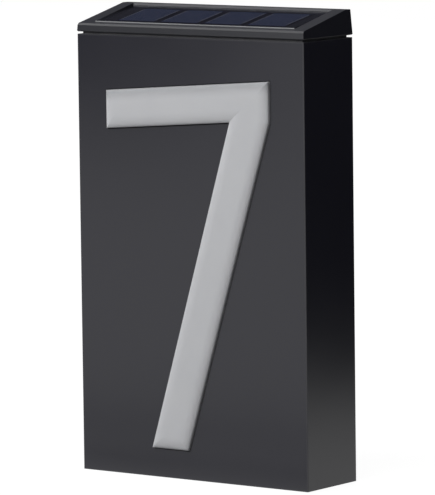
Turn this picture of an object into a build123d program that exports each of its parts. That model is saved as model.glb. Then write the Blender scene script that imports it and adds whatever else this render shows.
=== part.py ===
"""Solar house number light: a box housing with an opal figure 7 and a lift-off wedge cap.

The cap carries the solar panel, the rechargeable cell, the LEDs and their driver.
Millimetres. X runs to the right along the front, Y into the wall and Z up.
The origin is the middle of the underside."""

from build123d import *
import math
import os

os.makedirs("parts", exist_ok=True)

# ---- housing -------------------------------------------------------------------
BODY_W = 120.0  # left to right
BODY_D = 36.0  # front to back
BODY_H = 190.0  # underside to top edge
WALL = 3.0  # moulded walls
EDGE_R = 0.6  # rounding of the upright edges
REAR_LIP = 1.4  # wall left outside the rear cover

# ---- top mouth and the rubber rim that makes the shadow gap ----------------------
MOUTH_R = 3.0
RIM_T = 1.0  # height of the shadow gap
RIM_INSET = 1.7  # depth of the shadow gap
RIM_GAP = 0.2  # rim to the mouth's edge

# ---- the figure 7 ----------------------------------------------------------------
NUM_LEFT_GAP = 16.0  # housing's left side to the bar
NUM_RIGHT_GAP = 17.7  # bar to the housing's right side
NUM_TOP_GAP = 16.9  # housing's top edge down to the bar's right corner
NUM_FOOT_H = 12.5  # foot of the stem above the underside
BAR_H = 16.8  # upright height of the bar
BAR_END_H = 17.7  # upright right end, down to the stem's edge
BAR_RISE = 4.4  # degrees, bar up to the right
ELBOW_L = 20.8  # bar's right end back to the inner corner of bar and stem
FOOT_SHIFT_L = 22.4  # bar's left end to the foot's left corner
FOOT_W = 19.5
CUT_EDGE = 0.3  # chamfer round the cut-out
NUM_FIT = 0.15  # figure to its cut-out
NUM_PROUD = 0.7  # straight rim of the figure above the front
CROWN_W = 5.5  # width of the crowned rim
CROWN_H = 1.5  # rise of the crown above the straight rim
CROWN_STEPS = 12

# ---- diffuser plate, reflector tray ----------------------------------------------
DIFFUSER_T = 2.0
DIFFUSER_EDGE_W = 4.5  # plate beyond the figure
PIN_D = 2.4  # locating pins for the plate
PIN_PROUD = 0.8  # pins beyond the plate
PIN_INSET = 3.0  # pins in from the plate's edge
PIN_FIT = 0.15
PIN_LOW_H = 34.0  # lower pin above the underside
PIN_TOP_GAP = 66.0  # upper pin below the top edge
TRAY_T = 1.2
TRAY_TOP_GAP = 4.0  # tray's open top to the solar module
TRAY_BACK_GAP = 2.8  # tray's back to the keyhole pockets
TRAY_THROAT_D = 5.2  # depth left at the bottom of the tray
EAR_T = 1.6
EAR_R = 3.2
EAR_GAP = 0.4  # ears to the housing's side walls
EAR_STAND_D = 5.0  # tray's fixing ears behind the diffuser plate
EAR_END_H = 52.0  # ears in from the underside and from the top edge
TRAY_BOSS_D = 5.2

# ---- rear cover ------------------------------------------------------------------
COVER_T = 2.5
COVER_GAP = 0.25
SEAL_T = 0.8
SEAL_W = 1.3
BOSS_D = 6.6  # cover bosses in the housing
BOSS_SINK = 0.8  # how far a boss sinks into the wall beside it
BOSS_LOW_H = 14.0  # lower bosses above the underside
BOSS_TOP_GAP = 27.0  # upper bosses below the top edge
PAD_D = 4.8  # pads of the cover on the bosses
RIB_T = 1.2
RIB_H = 1.8
RIB_PITCH = 30.0
RIB_COUNT = 4
KEY_SPACING = 70.0  # between the two keyholes
KEY_TOP_GAP = 40.0  # head entry of the keyholes below the top edge
KEY_HEAD_D = 9.4
KEY_SLOT_W = 4.8
KEY_RISE = 9.0  # from the head entry up to the hook
KEY_POCKET = 3.4  # room for the screw head behind the cover
KEY_HEAD_GAP = 0.6  # pocket is this much wider than the head entry
KEY_WALL = 1.3

# ---- screws ----------------------------------------------------------------------
SHANK_D = 2.3
PILOT_GAP = 0.1  # pilot holes are this much wider than the shank
SHANK_HOLE_GAP = 0.6  # clearance holes are this much wider than the shank
HEAD_D = 4.4
HEAD_H = 1.6
HEAD_GAP = 0.5  # counterbores are this much wider than the head
COVER_SCREW_L = 10.0
TRAY_SCREW_L = 5.0
MODULE_SCREW_L = 11.0
DOOR_SCREW_L = 5.0
CROSS_W = 0.8  # cross recess
CROSS_L = 2.6
CROSS_DEPTH = 1.0

# ---- cap -------------------------------------------------------------------------
FASCIA_H = 3.45  # front edge of the cap
ROOF_ANGLE = 13.0
RIDGE_D = 4.0  # level strip along the back
CAP_DRAFT = 3.4
CAP_WALL = 2.4
CAP_EDGE = 0.35  # small chamfer round the roof and the lower edge
FASCIA_BEVEL = 0.7
RECESS_BEVEL = 0.7  # upper rear edge of the panel's recess
ROOF_WALL = 1.0
CAP_BOSS_D = 4.6

# ---- solar panel -----------------------------------------------------------------
PANEL_ANGLE = 10.9
PANEL_SIDE_W = 7.2  # roof left beside the panel
PANEL_SETBACK = 3.6  # panel's front edge behind the cap's front
PANEL_REAR_L = 5.0  # roof left behind the panel
PANEL_PROUD = 0.3  # panel's front edge above the roof
PANEL_GAP = 0.3
TAPE_T = 0.2
PANEL_BOARD_T = 0.8
CELL_T = 0.2
COVER_GLASS_T = 0.7
CELL_W = 21.0
CELL_L = 19.5
CELL_PITCH = 23.0
CELL_COUNT = 4
CELL_SHIFT = 1.5  # cells up the slope from the panel's middle
BOARD_INSET = 0.6  # panel board inside the clear cover's edge

# ---- module base: the plug in the housing's mouth --------------------------------
PLUG_GAP = 0.3
PLUG_WALL = 1.8
FLOOR_T = 2.4
FLANGE_T = 1.2
FLANGE_GAP = 0.2
COLUMN_W = 6.0
COLUMN_H = 6.0
COLUMN_SINK = 0.5

# ---- cell bay --------------------------------------------------------------------
BATTERY_D = 14.2
BATTERY_L = 49.4  # can, without the nub
NUB_D = 5.4
NUB_L = 1.0
SHOULDER_L = 0.6  # bevel at both ends of the can
SPRING_ROOM_L = 6.8  # length left for the spring
BAY_WALL = 1.5
BAY_H = 14.0  # cross walls above the floor
BATTERY_LIFT = 0.4  # above the bay's ledge
BATTERY_TOP_GAP = 2.0  # cell to the underside of the flange
CONTACT_T = 0.4
CONTACT_W = 10.0
SPRING_WIRE = 0.8
SPRING_R = 4.6
SPRING_TURNS = 3.5
SPRING_CONE = -18.0
WIRE_SIDES = 6
CRADLE_T = 1.6
CRADLE_X = 15.0
CRADLE_TOP_H = 1.4  # cradles above the cell
CRADLE_GAP = 0.3
DOOR_T = 1.2
DOOR_LEDGE = 1.3
DOOR_OVERLAP = 1.6  # door beyond the bay at each end
DOOR_ROOM_W = 0.9  # opening beyond the cell on each side
DOOR_GAP = 0.2
DOOR_EAR_R = 3.4
DOOR_EAR_L = 3.6  # screw beyond the door's end
DOOR_BOSS_D = 5.0
DOOR_BOSS_H = 6.0
DOOR_BOSS_GAP = 0.7  # to the LED board
GRIP_W = 1.0
GRIP_DEPTH = 0.4
GRIP_COUNT = 5

# ---- boards, LEDs, switch ----------------------------------------------------------
PCB_T = 1.0
PCB_LIFT = 2.9  # underside of the boards above the floor
PCB_WALL_GAP = 1.3  # driver board to the plug's long walls
PCB_BAY_GAP = 2.1  # driver board to the cell bay
PCB_COLUMN_GAP = 0.8  # driver board to the screw columns
LED_BOARD_L = 9.2
LED_BOARD_W = 9.2
POST_W = 2.6
POST_PIN_D = 1.3
POST_PIN_H = 1.7
POST_EDGE_X = 1.7  # posts in from the boards' short edges
POST_EDGE_Y = 1.2  # posts in from the boards' long edges
POST_FIT = 0.15
LED_W = 3.5
LED_D = 2.8
LED_T = 1.2
LED_PITCH = 4.8
WINDOW_L = 8.0
WINDOW_W = 4.0
WINDOW_FIT = 0.1
DRIVER_LED_Y = -4.0
SWITCH_Y = 3.6
SWITCH_L = 8.6
SWITCH_W = 3.6
SWITCH_GAP = 0.1  # switch body above the floor
SWITCH_SLOT_DEPTH = 1.6
SWITCH_SLOT_GAP = 0.2  # lever to the slot of the switch body
SWITCH_TRAVEL = 2.0
LEVER_L = 2.2
LEVER_W = 1.3
LEVER_PROUD = 1.2  # lever below the module's floor
LEVER_GAP = 0.3  # lever to the slot in the floor
COIL_W = 5.2
COIL_H = 4.6
COIL_NECK_D = 3.6
COIL_FLANGE_T = 0.8
CHIP_L = 5.0
CHIP_W = 4.0
CHIP_H = 1.5
LEG_W = 0.5
LEG_L = 1.0
LEG_PITCH = 1.27
CAPACITOR_R = 2.0
CAPACITOR_H = 5.0
CAPACITOR_BEVEL = 0.3
PART_X = 3.4  # parts beside the driver board's middle
PART_Y = 4.2

# ---- flat leads ----------------------------------------------------------------------
LEAD_W = 1.6
LEAD_T = 0.6
LEAD_PITCH = 2.0  # between leads that run side by side
LEAD_BEND_R = 1.2
LEAD_EDGE_X = 0.9  # leads in from the driver board's edge
LEAD_HOLE_GAP = 0.5  # round the panel's leads where they pass the roof
PANEL_LEAD_X = 1.0  # foot of the panel's leads beside the driver board's middle
PANEL_LEAD_Y = 6.6
PANEL_LEAD_SHIFT = 2.4  # sideways step of the panel's leads
PANEL_LEAD_LOW_H = 6.0  # start of the step above the board
PANEL_LEAD_STEP_H = 5.0

# ---- derived places ----------------------------------------------------------------
FRONT = BODY_D / 2  # distance of the front and the back from the middle
INNER_FRONT = FRONT - WALL
COVER_FACE = FRONT - COVER_T
LEDGE_FACE = COVER_FACE - SEAL_T
BOSS_X = BODY_W / 2 - WALL - BOSS_D / 2 + BOSS_SINK
BOSS_HIGH = BODY_H - BOSS_TOP_GAP
NUM_LEFT = -BODY_W / 2 + NUM_LEFT_GAP
NUM_RIGHT = BODY_W / 2 - NUM_RIGHT_GAP
NUM_TOP = BODY_H - NUM_TOP_GAP
PLATE_X = max(-NUM_LEFT, NUM_RIGHT) + DIFFUSER_EDGE_W
PLATE_LOW = NUM_FOOT_H - DIFFUSER_EDGE_W
PLATE_TOP = NUM_TOP + DIFFUSER_EDGE_W
PLATE_BACK = INNER_FRONT - DIFFUSER_T
MOUTH_EDGE = WALL + DIFFUSER_T  # the mouth stays behind the diffuser plate
MOUTH_W = BODY_W - 2 * MOUTH_EDGE
MOUTH_D = BODY_D - 2 * MOUTH_EDGE
EAR_X = BODY_W / 2 - WALL - EAR_GAP - EAR_R
EAR_Y = -PLATE_BACK + EAR_STAND_D
KEY_Z = BODY_H - KEY_TOP_GAP
TRAY_BACK = COVER_FACE - KEY_POCKET - KEY_WALL - TRAY_BACK_GAP
CAP_Z = BODY_H + RIM_T
PLUG_H = FLOOR_T + BATTERY_LIFT + BATTERY_D + BATTERY_TOP_GAP
PLUG_Z = CAP_Z - PLUG_H
TRAY_TOP = PLUG_Z - TRAY_TOP_GAP
FLOOR_Z = PLUG_Z + FLOOR_T
PLUG_W = MOUTH_W - 2 * PLUG_GAP
PLUG_D = MOUTH_D - 2 * PLUG_GAP
PLUG_R = MOUTH_R - PLUG_GAP
BAY_W = PLUG_W - 2 * PLUG_WALL
BAY_D = PLUG_D - 2 * PLUG_WALL
BAY_L = BATTERY_L + NUB_L + 2 * CONTACT_T + SPRING_ROOM_L
CRADLE_H = BATTERY_LIFT + BATTERY_D + CRADLE_TOP_H
DOOR_END = BAY_L / 2 + DOOR_OVERLAP
DOOR_EAR_X = -DOOR_END - DOOR_EAR_L
DOOR_W = BATTERY_D + 2 * (DOOR_ROOM_W + DOOR_LEDGE)
COLUMN_X = BAY_W / 2 - COLUMN_W / 2 + COLUMN_SINK
COLUMN_Y = BAY_D / 2 - COLUMN_W / 2 + COLUMN_SINK
PCB_Z = FLOOR_Z + PCB_LIFT
PCB_TOP = PCB_Z + PCB_T
PCB_D = BAY_D - 2 * PCB_WALL_GAP
DRIVER_LEFT = BAY_L / 2 + BAY_WALL + PCB_BAY_GAP
DRIVER_RIGHT = COLUMN_X - COLUMN_W / 2 - PCB_COLUMN_GAP
DRIVER_W = DRIVER_RIGHT - DRIVER_LEFT
DRIVER_X = (DRIVER_LEFT + DRIVER_RIGHT) / 2
PANEL_LEAD_FOOT_X = DRIVER_X - PANEL_LEAD_X
PANEL_LEAD_TOP_X = PANEL_LEAD_FOOT_X + PANEL_LEAD_SHIFT
LED_BOARD_X = DOOR_EAR_X - DOOR_BOSS_D / 2 - DOOR_BOSS_GAP - LED_BOARD_L / 2
BATTERY_Z = FLOOR_Z + BATTERY_LIFT + BATTERY_D / 2
BATTERY_X = BAY_L / 2 - CONTACT_T - NUB_L - BATTERY_L / 2
SLOPE = math.tan(math.radians(ROOF_ANGLE))
ROOF_TOP = CAP_Z + FASCIA_H + (BODY_D - RIDGE_D) * SLOPE
PANEL_W = BODY_W - 2 * PANEL_SIDE_W
PANEL_L = BODY_D - PANEL_SETBACK - PANEL_REAR_L
PANEL_TILT = math.radians(PANEL_ANGLE)
PANEL_STACK = TAPE_T + PANEL_BOARD_T + CELL_T + COVER_GLASS_T

DOWN = (Align.CENTER, Align.CENTER, Align.MAX)
UP = (Align.CENTER, Align.CENTER, Align.MIN)
SIDES = (-1, 1)


def front_plane(y):
    """Upright plane at this Y; its X is the model's X, its Y the model's Z, facing the front."""
    return Plane.XZ.offset(-y)


def facing_back(x, y, z):
    """Place whose Z axis points to the back."""
    return Plane(origin=(x, y, z), x_dir=(1, 0, 0), z_dir=(0, 1, 0))


def facing_down(x, y, z):
    """Place whose Z axis points down."""
    return Plane(origin=(x, y, z), x_dir=(1, 0, 0), z_dir=(0, 0, -1))


def panel_plane(depth):
    """Plane of the solar panel, this far below the top of its clear cover."""
    front_edge = -FRONT + PANEL_SETBACK
    edge_z = CAP_Z + FASCIA_H + PANEL_SETBACK * SLOPE + PANEL_PROUD
    along = (0, math.cos(PANEL_TILT), math.sin(PANEL_TILT))
    normal = (0, -math.sin(PANEL_TILT), math.cos(PANEL_TILT))
    middle = (
        0,
        front_edge + along[1] * PANEL_L / 2 - normal[1] * depth,
        edge_z + along[2] * PANEL_L / 2 - normal[2] * depth,
    )
    return Plane(origin=middle, x_dir=(1, 0, 0), z_dir=normal)


def add_screws(places, length):
    """Pan-head screws whose heads lie outside each place and whose shanks go in."""
    with Locations(*places):
        Cylinder(SHANK_D / 2, length, align=DOWN)
        Cylinder(HEAD_D / 2, HEAD_H, align=UP)
    outer = [place.offset(HEAD_H) for place in places]
    with Locations(*outer):
        Box(CROSS_L, CROSS_W, CROSS_DEPTH, align=DOWN, mode=Mode.SUBTRACT)
        Box(CROSS_W, CROSS_L, CROSS_DEPTH, align=DOWN, mode=Mode.SUBTRACT)


def add_flat_lead(points, y):
    """Flat lead with rounded bends through these XZ points, its middle at this Y."""
    with BuildSketch(front_plane(y)) as strip:
        with BuildLine():
            FilletPolyline(*points, radius=LEAD_BEND_R)
        trace(line_width=LEAD_T)
    extrude(strip.sketch, amount=LEAD_W / 2, both=True)


def cut_lead_hole():
    """Pass the panel's leads through the roof below the solar panel."""
    with BuildSketch(Plane.XY.offset(CAP_Z)) as hole:
        with Locations((PANEL_LEAD_TOP_X, PANEL_LEAD_Y)):
            Rectangle(LEAD_T + 2 * LEAD_HOLE_GAP, LEAD_W + 2 * LEAD_HOLE_GAP)
    extrude(hole.sketch, amount=ROOF_TOP - CAP_Z, mode=Mode.SUBTRACT)


def save(piece, name):
    """Label a finished piece and write it."""
    piece.part.label = name
    export_step(piece.part, f"parts/{name}.step")


# ---- places used by more than one piece ----------------------------------------------
cover_spots = [(x * BOSS_X, z) for x in SIDES for z in (BOSS_LOW_H, BOSS_HIGH)]
ear_heights = (EAR_END_H, BODY_H - EAR_END_H)
ear_spots = [(x * EAR_X, z) for x in SIDES for z in ear_heights]
pin_x = PLATE_X - PIN_INSET
pin_spots = [(-pin_x, PIN_LOW_H), (pin_x, BODY_H - PIN_TOP_GAP)]
column_spots = [(x * COLUMN_X, y * COLUMN_Y) for x in SIDES for y in SIDES]
window_spots = [(DRIVER_X, DRIVER_LED_Y), (LED_BOARD_X, 0)]
led_spots = [(x + s * LED_PITCH / 2, y) for x, y in window_spots for s in SIDES]


def post_pair(x, length, width):
    """Two posts at opposite corners of a board of this length and width."""
    post_x = length / 2 - POST_EDGE_X
    post_y = width / 2 - POST_EDGE_Y
    return [(x + post_x, -post_y), (x - post_x, post_y)]


driver_posts = post_pair(DRIVER_X, DRIVER_W, PCB_D)
led_posts = post_pair(LED_BOARD_X, LED_BOARD_L, LED_BOARD_W)

# ---- outline of the figure 7 ---------------------------------------------------------
rise = math.tan(math.radians(BAR_RISE))
bar_left_top = NUM_TOP - (NUM_RIGHT - NUM_LEFT) * rise
bar_left_low = bar_left_top - BAR_H
elbow_x = NUM_RIGHT - ELBOW_L
foot_left = NUM_LEFT + FOOT_SHIFT_L
with BuildSketch() as figure:
    with BuildLine():
        Polyline(
            (NUM_LEFT, bar_left_top),
            (NUM_RIGHT, NUM_TOP),
            (NUM_RIGHT, NUM_TOP - BAR_END_H),
            (foot_left + FOOT_W, NUM_FOOT_H),
            (foot_left, NUM_FOOT_H),
            (elbow_x, bar_left_low + (elbow_x - NUM_LEFT) * rise),
            (NUM_LEFT, bar_left_low),
            close=True,
        )
    make_face()

# ---- housing_shell: one moulding, open at the back, with the mouth on top -------------
with BuildPart() as housing_shell:
    with BuildSketch():
        RectangleRounded(BODY_W, BODY_D, EDGE_R)
    extrude(amount=BODY_H)
    with BuildSketch(front_plane(FRONT)):
        with Locations((0, BODY_H / 2)):
            Rectangle(BODY_W - 2 * WALL, BODY_H - 2 * WALL)
    extrude(amount=BODY_D - WALL, mode=Mode.SUBTRACT)
    with BuildSketch(front_plane(FRONT)):
        with Locations((0, BODY_H / 2)):
            Rectangle(BODY_W - 2 * REAR_LIP, BODY_H - 2 * REAR_LIP)
    extrude(amount=COVER_T + SEAL_T, mode=Mode.SUBTRACT)
    with BuildSketch(Plane.XY.offset(BODY_H)):
        RectangleRounded(MOUTH_W, MOUTH_D, MOUTH_R)
    extrude(amount=-WALL, mode=Mode.SUBTRACT)
    with BuildSketch(front_plane(-INNER_FRONT)):
        add(figure.sketch)
    extrude(amount=WALL, mode=Mode.SUBTRACT)
    cut_out_rim = housing_shell.faces().sort_by(Axis.Y)[0].inner_wires()[0].edges()
    chamfer(cut_out_rim, CUT_EDGE)
    with Locations(*[facing_back(x, -INNER_FRONT, z) for x, z in cover_spots]):
        Cylinder(BOSS_D / 2, INNER_FRONT + LEDGE_FACE, align=UP)
    with Locations(*[facing_back(x, LEDGE_FACE, z) for x, z in cover_spots]):
        Hole((SHANK_D + PILOT_GAP) / 2, COVER_SCREW_L)
    with Locations(*[facing_back(x, -INNER_FRONT, z) for x, z in ear_spots]):
        Cylinder(TRAY_BOSS_D / 2, INNER_FRONT + EAR_Y, align=UP)
    with Locations(*[facing_back(x, EAR_Y, z) for x, z in ear_spots]):
        Hole((SHANK_D + PILOT_GAP) / 2, TRAY_SCREW_L)
    with Locations(*[facing_back(x, -INNER_FRONT, z) for x, z in pin_spots]):
        Cylinder(PIN_D / 2, DIFFUSER_T + PIN_PROUD, align=UP)
save(housing_shell, "housing_shell")

# ---- numeral_diffuser: opal plate with the crowned figure that fills the cut-out ------
with BuildPart() as numeral_diffuser:
    with BuildSketch(front_plane(-PLATE_BACK)):
        with Locations((0, (PLATE_LOW + PLATE_TOP) / 2)):
            Rectangle(2 * PLATE_X, PLATE_TOP - PLATE_LOW)
        with Locations(*pin_spots):
            Circle(PIN_D / 2 + PIN_FIT, mode=Mode.SUBTRACT)
    extrude(amount=DIFFUSER_T)
    with BuildSketch(front_plane(-INNER_FRONT)):
        add(figure.sketch)
        offset(amount=-NUM_FIT, kind=Kind.INTERSECTION, mode=Mode.REPLACE)
    extrude(amount=WALL + NUM_PROUD)
    for step in range(CROWN_STEPS + 1):
        turn = math.radians(90 * step / CROWN_STEPS)
        with BuildSketch(front_plane(-FRONT - NUM_PROUD - CROWN_H * math.sin(turn))):
            add(figure.sketch)
            inset = NUM_FIT + CROWN_W * (1 - math.cos(turn))
            offset(amount=-inset, kind=Kind.INTERSECTION, mode=Mode.REPLACE)
    loft(ruled=True)
save(numeral_diffuser, "numeral_diffuser")

# ---- reflector_tray: white tray, open to the diffuser and to the LEDs above ------------
with BuildPart() as reflector_tray:
    with BuildSketch(Plane.YZ):
        with BuildLine():
            throat = (-PLATE_BACK + TRAY_THROAT_D, PLATE_LOW)
            Polyline(throat, (-PLATE_BACK, PLATE_LOW), (-PLATE_BACK, TRAY_TOP), (TRAY_BACK, TRAY_TOP))
            TangentArc((TRAY_BACK, TRAY_TOP), throat, tangent=(0, -1))
        make_face()
    extrude(amount=PLATE_X, both=True)
    mouths = [reflector_tray.faces().sort_by(Axis.Y)[0], reflector_tray.faces().sort_by(Axis.Z)[-1]]
    offset(amount=-TRAY_T, openings=mouths)
    for side in SIDES:
        for ear_z in ear_heights:
            with BuildSketch(front_plane(EAR_Y)):
                with Locations((side * EAR_X, ear_z)):
                    Circle(EAR_R)
                with Locations((side * (EAR_X + PLATE_X - TRAY_T) / 2, ear_z)):
                    Rectangle(EAR_X - PLATE_X + TRAY_T, 2 * EAR_R)
                with Locations((side * EAR_X, ear_z)):
                    Circle((SHANK_D + SHANK_HOLE_GAP) / 2, mode=Mode.SUBTRACT)
            extrude(amount=-EAR_T)
save(reflector_tray, "reflector_tray")

with BuildPart() as tray_screws:
    add_screws([facing_back(x, EAR_Y + EAR_T, z) for x, z in ear_spots], TRAY_SCREW_L)
save(tray_screws, "tray_screws")

# ---- back_plate: ribbed rear cover with two closed keyhole pockets ---------------------
cover_w = BODY_W - 2 * REAR_LIP - 2 * COVER_GAP
cover_h = BODY_H - 2 * REAR_LIP - 2 * COVER_GAP
pocket_w = KEY_HEAD_D + KEY_HEAD_GAP
with BuildPart() as back_plate:
    with BuildSketch(front_plane(COVER_FACE)):
        with Locations((0, BODY_H / 2)):
            Rectangle(cover_w, cover_h)
    extrude(amount=-COVER_T)
    with Locations(*[facing_back(x, COVER_FACE, z) for x, z in cover_spots]):
        Cylinder(PAD_D / 2, SEAL_T, align=DOWN)
    with BuildSketch(front_plane(COVER_FACE)):
        with Locations((0, (PLATE_LOW + KEY_Z) / 2)):
            with GridLocations(0, RIB_PITCH, 1, RIB_COUNT):
                Rectangle(2 * (BOSS_X - BOSS_D), RIB_T)
        with Locations(*[(x * KEY_SPACING / 2, KEY_Z + KEY_RISE / 2) for x in SIDES]):
            SlotCenterToCenter(KEY_RISE, pocket_w + 2 * KEY_WALL, rotation=90)
    extrude(amount=RIB_H)
    with BuildSketch(front_plane(COVER_FACE)):
        with Locations(*[(x * KEY_SPACING / 2, KEY_Z + KEY_RISE / 2) for x in SIDES]):
            SlotCenterToCenter(KEY_RISE, pocket_w + 2 * KEY_WALL, rotation=90)
    extrude(amount=KEY_POCKET + KEY_WALL)
    with BuildSketch(front_plane(COVER_FACE)):
        with Locations(*[(x * KEY_SPACING / 2, KEY_Z + KEY_RISE / 2) for x in SIDES]):
            SlotCenterToCenter(KEY_RISE, pocket_w, rotation=90)
    extrude(amount=KEY_POCKET, mode=Mode.SUBTRACT)
    with BuildSketch(front_plane(FRONT)):
        with Locations(*[(x * KEY_SPACING / 2, KEY_Z) for x in SIDES]):
            Circle(KEY_HEAD_D / 2)
        with Locations(*[(x * KEY_SPACING / 2, KEY_Z + KEY_RISE / 2) for x in SIDES]):
            SlotCenterToCenter(KEY_RISE, KEY_SLOT_W, rotation=90)
    extrude(amount=COVER_T, mode=Mode.SUBTRACT)
    with Locations(*[facing_back(x, FRONT, z) for x, z in cover_spots]):
        CounterBoreHole((SHANK_D + SHANK_HOLE_GAP) / 2, (HEAD_D + HEAD_GAP) / 2, HEAD_H, COVER_T + SEAL_T)
save(back_plate, "back_plate")

with BuildPart() as back_seal:
    with BuildSketch(front_plane(LEDGE_FACE)):
        with Locations((0, BODY_H / 2)):
            Rectangle(cover_w, cover_h)
            Rectangle(cover_w - 2 * SEAL_W, cover_h - 2 * SEAL_W, mode=Mode.SUBTRACT)
    extrude(amount=-SEAL_T)
save(back_seal, "back_seal")

with BuildPart() as back_screws:
    add_screws([facing_back(x, FRONT - HEAD_H, z) for x, z in cover_spots], COVER_SCREW_L)
save(back_screws, "back_screws")

# ---- rim_gasket: the rubber neck under the cap --------------------------------------
with BuildPart() as rim_gasket:
    with BuildSketch(Plane.XY.offset(BODY_H)):
        RectangleRounded(BODY_W - 2 * RIM_INSET, BODY_D - 2 * RIM_INSET, EDGE_R)
        rim_mouth_w = MOUTH_W + 2 * RIM_GAP
        rim_mouth_d = MOUTH_D + 2 * RIM_GAP
        RectangleRounded(rim_mouth_w, rim_mouth_d, MOUTH_R + RIM_GAP, mode=Mode.SUBTRACT)
    extrude(amount=RIM_T)
save(rim_gasket, "rim_gasket")

# ---- cap_shell: drafted wedge with the panel's recess ---------------------------------
inner_x = BODY_W / 2 - CAP_WALL
inner_y = FRONT - CAP_WALL
with BuildPart() as cap_shell:
    with BuildSketch(Plane.XY.offset(CAP_Z)):
        Rectangle(BODY_W, BODY_D)
    extrude(amount=ROOF_TOP - CAP_Z, taper=CAP_DRAFT)
    with BuildSketch(Plane.YZ):
        with BuildLine():
            Polyline(
                (-FRONT, CAP_Z + FASCIA_H),
                (FRONT - RIDGE_D, ROOF_TOP),
                (FRONT - RIDGE_D, ROOF_TOP + WALL),
                (-FRONT, ROOF_TOP + WALL),
                close=True,
            )
        make_face()
    extrude(amount=BODY_W, both=True, mode=Mode.SUBTRACT)
    roof_edges = cap_shell.edges().filter_by_position(Axis.Z, CAP_Z + FASCIA_H - WALL / 2, ROOF_TOP)
    front_edge = roof_edges.sort_by(Axis.Y)[0]
    chamfer(front_edge, FASCIA_BEVEL)
    chamfer(cap_shell.faces().sort_by(Axis.Z)[0].edges(), CAP_EDGE)
    with BuildSketch(panel_plane(PANEL_STACK)):
        Rectangle(PANEL_W + 2 * PANEL_GAP, PANEL_L + 2 * PANEL_GAP)
    extrude(amount=2 * PANEL_STACK, mode=Mode.SUBTRACT)
    recess_edges = cap_shell.edges().filter_by(Axis.X).filter_by(lambda edge: edge.length < PANEL_W + WALL)
    chamfer(recess_edges.sort_by(Axis.Z)[-1], RECESS_BEVEL)
    ceiling = panel_plane(PANEL_STACK + ROOF_WALL)
    drop = ceiling.origin.Z - ceiling.origin.Y * math.tan(PANEL_TILT)
    with BuildSketch(Plane.YZ):
        with BuildLine():
            Polyline(
                (-inner_y, CAP_Z),
                (inner_y, CAP_Z),
                (inner_y, drop + inner_y * math.tan(PANEL_TILT)),
                (-inner_y, drop - inner_y * math.tan(PANEL_TILT)),
                close=True,
            )
        make_face()
    extrude(amount=inner_x, both=True, mode=Mode.SUBTRACT)
    cut_lead_hole()
    with BuildSketch(Plane.XY.offset(PLUG_Z + COLUMN_H)):
        with Locations(*column_spots):
            Circle(CAP_BOSS_D / 2)
    extrude(until=Until.NEXT)
    with Locations(*[facing_down(x, y, PLUG_Z + COLUMN_H) for x, y in column_spots]):
        Hole((SHANK_D + PILOT_GAP) / 2, MODULE_SCREW_L)
save(cap_shell, "cap_shell")

# ---- solar panel: tape, board, four cells and a clear cover ---------------------------
board_w = PANEL_W - 2 * BOARD_INSET
board_l = PANEL_L - 2 * BOARD_INSET
with BuildPart() as panel_tape:
    with BuildSketch(panel_plane(PANEL_STACK)):
        Rectangle(board_w, board_l)
    extrude(amount=TAPE_T)
    cut_lead_hole()
save(panel_tape, "panel_tape")

with BuildPart() as panel_board:
    with BuildSketch(panel_plane(PANEL_STACK - TAPE_T)):
        Rectangle(board_w, board_l)
    extrude(amount=PANEL_BOARD_T)
save(panel_board, "panel_board")

with BuildPart() as solar_cells:
    with BuildSketch(panel_plane(COVER_GLASS_T + CELL_T)):
        with Locations((0, CELL_SHIFT)):
            with GridLocations(CELL_PITCH, 0, CELL_COUNT, 1):
                Rectangle(CELL_W, CELL_L)
    extrude(amount=CELL_T)
save(solar_cells, "solar_cells")

with BuildPart() as panel_cover:
    with BuildSketch(panel_plane(COVER_GLASS_T)):
        Rectangle(PANEL_W, PANEL_L)
    extrude(amount=COVER_GLASS_T)
save(panel_cover, "panel_cover")

# ---- module_base: plug with the cell bay, the LED windows and the screw columns --------
with BuildSketch() as door_outline:
    Rectangle(2 * DOOR_END, DOOR_W)
    with Locations((DOOR_EAR_X, 0)):
        Circle(DOOR_EAR_R)
    with Locations((-DOOR_END - DOOR_EAR_L / 2, 0)):
        Rectangle(DOOR_EAR_L, 2 * DOOR_EAR_R)

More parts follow.
